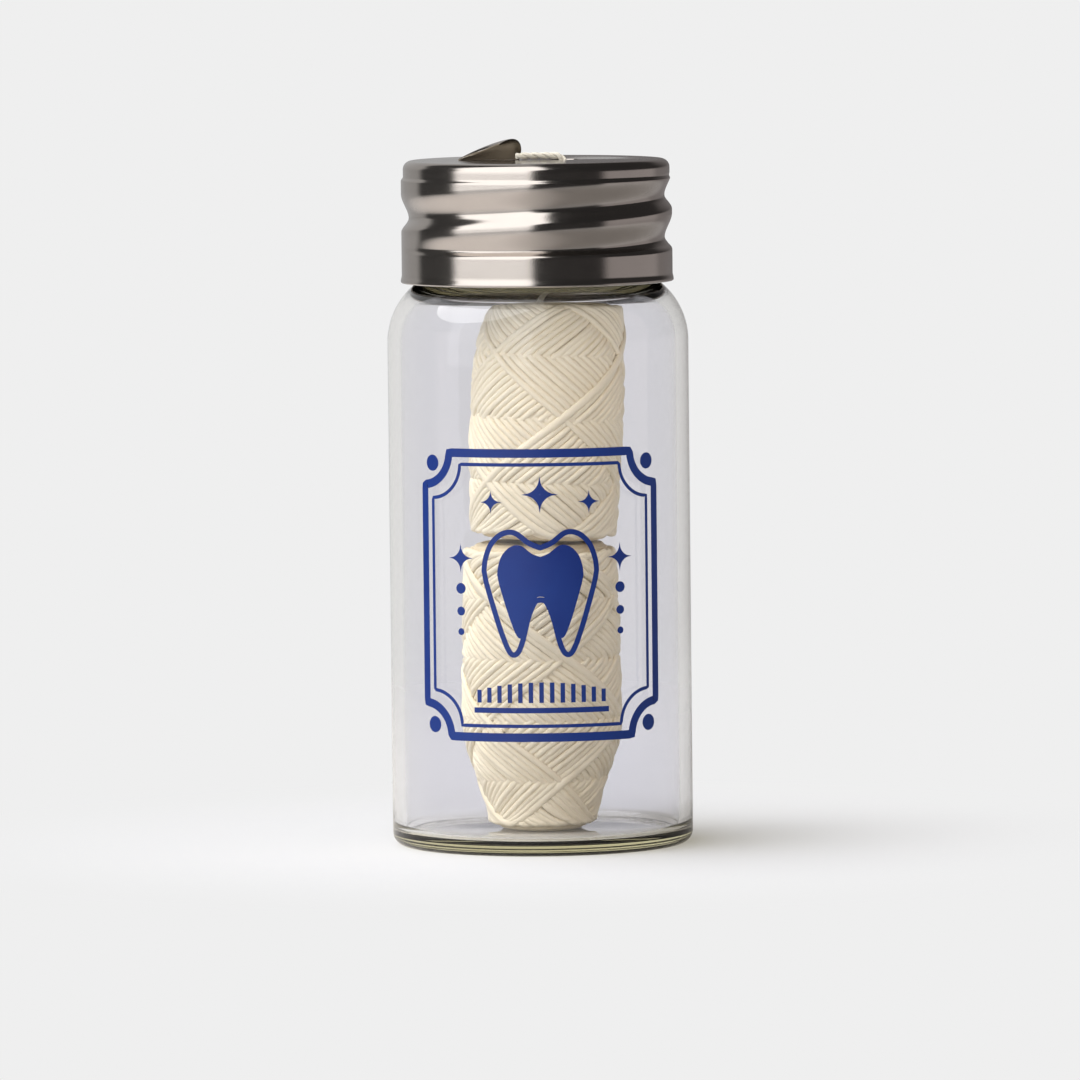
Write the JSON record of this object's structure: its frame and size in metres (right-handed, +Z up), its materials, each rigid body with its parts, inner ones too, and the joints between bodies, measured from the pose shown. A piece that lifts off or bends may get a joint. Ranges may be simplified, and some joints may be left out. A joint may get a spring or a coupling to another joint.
{
  "type": "dental floss dispenser",
  "caption": "Glass vial with a pressed steel screw cap that has a floss hole and a lanced scoop cutter, and two cross-wound floss bobbins stacked inside.",
  "frame": {"origin": "centre of the vial's foot, on the surface that it stands on", "axes": "+Z up along the vial's axis, +X towards the side of the floss hole, -Y towards the side that carries the print"},
  "size_m": [0.028, 0.028, 0.0657],
  "materials": {
    "glass": "clear, smooth, slightly green soda-lime glass",
    "cap_steel": "satin pressed stainless sheet",
    "liner_foam": "white foamed sealing disc",
    "floss": "waxed cream floss",
    "packed_floss": "tightly wound cream floss"
  },
  "bodies": {
    "vial": {"glass_vial": "glass"},
    "feed": {"floss_feed": "floss"},
    "cap": {"screw_cap": "cap_steel", "cap_liner": "liner_foam", "floss_tail": "floss"},
    "upper_bobbin": {"upper_bobbin_body": "packed_floss", "upper_bobbin_windings": "floss"},
    "lower_bobbin": {"lower_bobbin_body": "packed_floss", "lower_bobbin_windings": "floss"}
  },
  "joints": [
    {"name": "cap_turn", "type": "hinge", "parent": "vial", "child": "feed", "pos_m": [0, 0, 0.0623], "axis": [0, 0, 1], "range_deg": [0, 1080]},
    {"name": "cap_rise", "type": "slide", "parent": "feed", "child": "cap", "axis": [0, 0, 1], "range_m": [0, 0.0117], "deforming": ["floss_feed"]},
    {"name": "upper_bobbin_spin", "type": "hinge", "parent": "vial", "child": "upper_bobbin", "pos_m": [0, 0, 0.02863], "axis": [0.0401, 0, 0.9992], "continuous": true},
    {"name": "lower_bobbin_spin", "type": "hinge", "parent": "vial", "child": "lower_bobbin", "pos_m": [0, 0, 0.00135], "axis": [0, 0, 1], "continuous": true}
  ],
  "couplings": [
    {"joint": "cap_rise", "follows": "cap_turn", "m_per_rad": 0.0006207}
  ]
}
